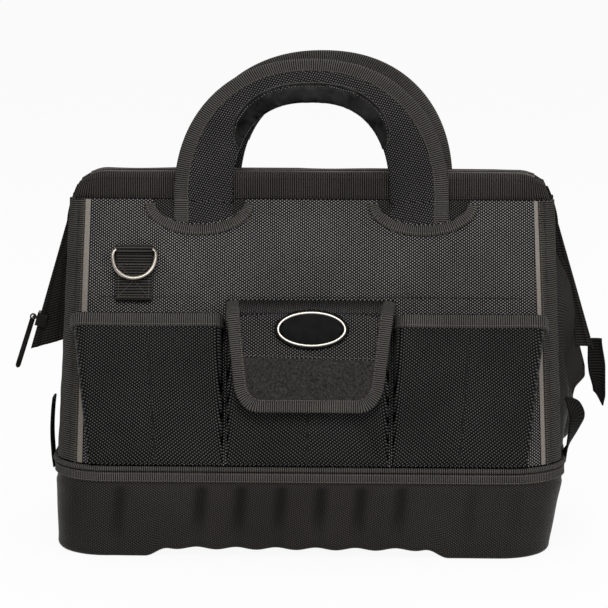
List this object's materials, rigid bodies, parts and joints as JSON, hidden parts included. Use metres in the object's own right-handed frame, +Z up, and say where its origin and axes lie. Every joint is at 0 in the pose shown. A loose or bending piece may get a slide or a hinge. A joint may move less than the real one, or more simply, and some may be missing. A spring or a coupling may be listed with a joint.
{
  "type": "tool bag",
  "caption": "Gate-mouth fabric tool bag with moulded base, leaning panels, outer pockets, flap, D-rings, zip and two padded arch handles.",
  "frame": {"origin": "middle of the bag's footprint, at the surface it stands on", "axes": "+Z up, +X to the right seen from the front, front faces -Y"},
  "size_m": [0.4797, 0.2425, 0.386],
  "materials": {
    "fabric": "coarse black polyester weave",
    "binding": "ribbed brown-black binding tape",
    "webbing": "black woven webbing and zip tape",
    "laminated_base": "black fabric laminated to moulded foam",
    "board": "smooth black stiffener sheet",
    "reflective": "grey reflective ribbon",
    "grip": "smooth black vinyl",
    "frame_steel": "zinc plated rod",
    "nickel": "nickel plated wire",
    "zip_metal": "dark nickel zip fittings",
    "badge": "bare black dome"
  },
  "bodies": {
    "base": {"base_tub": "laminated_base", "base_board": "board", "base_binding": "binding", "end_gusset_left": "fabric", "end_gusset_right": "fabric", "strap_loop_left": "webbing", "strap_loop_right": "webbing", "zip_tail_left": "webbing", "zip_tail_right": "webbing", "zip_end_tab": "webbing"},
    "front_panel": {"front_panel": "fabric", "front_outer_layer": "fabric", "front_handle_end_left": "fabric", "front_handle_end_right": "fabric", "front_side_tape_left": "binding", "front_side_tape_right": "binding", "reflective_strip_left": "reflective", "reflective_strip_right": "reflective", "front_ring_tab": "webbing", "front_pocket_left": "fabric", "front_pocket_left_binding": "binding", "front_pocket_middle": "fabric", "front_pocket_right": "fabric", "front_pocket_right_binding": "binding"},
    "front_rim": {"front_rim_tape": "binding", "front_steel_frame": "frame_steel", "front_placket": "webbing", "rivet_left": "frame_steel", "rivet_right": "frame_steel"},
    "front_handle": {"front_handle_band": "fabric", "front_handle_binding": "binding", "front_handle_grip": "grip"},
    "flap": {"flap": "fabric", "flap_binding": "binding", "badge_ring": "nickel", "badge_plate": "badge"},
    "front_d_ring": {"front_d_ring": "nickel"},
    "zip_slider": {"zip_slider": "zip_metal"},
    "zip_pull": {"zip_pull": "zip_metal"},
    "rear_panel": {"rear_panel": "fabric", "rear_outer_layer": "fabric", "rear_handle_end_left": "fabric", "rear_handle_end_right": "fabric", "rear_side_tape_left": "binding", "rear_side_tape_right": "binding", "rear_ring_tab": "webbing", "rear_pocket_left": "fabric", "rear_pocket_left_binding": "binding", "rear_pocket_right": "fabric", "rear_pocket_right_binding": "binding"},
    "rear_rim": {"rear_rim_tape": "binding", "rear_steel_frame": "frame_steel", "rear_placket": "webbing"},
    "rear_handle": {"rear_handle_band": "fabric", "rear_handle_binding": "binding", "rear_handle_grip": "grip"},
    "rear_d_ring": {"rear_d_ring": "nickel"}
  },
  "joints": [
    {"name": "mouth_open", "type": "hinge", "parent": "base", "child": "front_panel", "pos_m": [0, -0.1132, 0.0753], "axis": [1, 0, 0], "range_deg": [0, 26.4]},
    {"name": "front_rim_fold", "type": "hinge", "parent": "front_panel", "child": "front_rim", "pos_m": [0, -0.0205, 0.272], "axis": [1, 0, 0], "range_deg": [0, 34.3]},
    {"name": "front_handle_swing", "type": "hinge", "parent": "front_rim", "child": "front_handle", "pos_m": [0, -0.0205, 0.272], "axis": [1, 0, 0], "range_deg": [0, 75]},
    {"name": "zip_slide", "type": "slide", "parent": "base", "child": "zip_slider", "axis": [0.2798, 0, 0.9601], "range_m": [0, 0.078]},
    {"name": "zip_pull_swing", "type": "hinge", "parent": "zip_slider", "child": "zip_pull", "pos_m": [-0.22698, 0, 0.17257], "axis": [0, 1, 0], "range_deg": [0, 130]},
    {"name": "flap_lift", "type": "hinge", "parent": "front_panel", "child": "flap", "pos_m": [0, -0.05713, 0.19756], "axis": [1, 0, 0], "range_deg": [-110, 0]},
    {"name": "front_ring_swing", "type": "hinge", "parent": "front_panel", "child": "front_d_ring", "pos_m": [-0.14, -0.04332, 0.23472], "axis": [1, 0, 0], "range_deg": [-150, 0]},
    {"name": "rear_panel_open", "type": "hinge", "parent": "base", "child": "rear_panel", "pos_m": [0, 0.1132, 0.0753], "axis": [-1, 0, 0], "range_deg": [0, 26.4]},
    {"name": "rear_rim_fold", "type": "hinge", "parent": "rear_panel", "child": "rear_rim", "pos_m": [0, 0.0205, 0.272], "axis": [-1, 0, 0], "range_deg": [0, 34.3]},
    {"name": "rear_handle_swing", "type": "hinge", "parent": "rear_rim", "child": "rear_handle", "pos_m": [0, 0.0205, 0.272], "axis": [-1, 0, 0], "range_deg": [0, 75]},
    {"name": "rear_ring_swing", "type": "hinge", "parent": "rear_panel", "child": "rear_d_ring", "pos_m": [0.14, 0.04332, 0.23472], "axis": [-1, 0, 0], "range_deg": [-150, 0]}
  ],
  "couplings": [
    {"joint": "front_rim_fold", "follows": "mouth_open", "ratio": 1.2946},
    {"joint": "rear_panel_open", "follows": "mouth_open", "ratio": 1},
    {"joint": "rear_rim_fold", "follows": "mouth_open", "ratio": 1.2946}
  ]
}
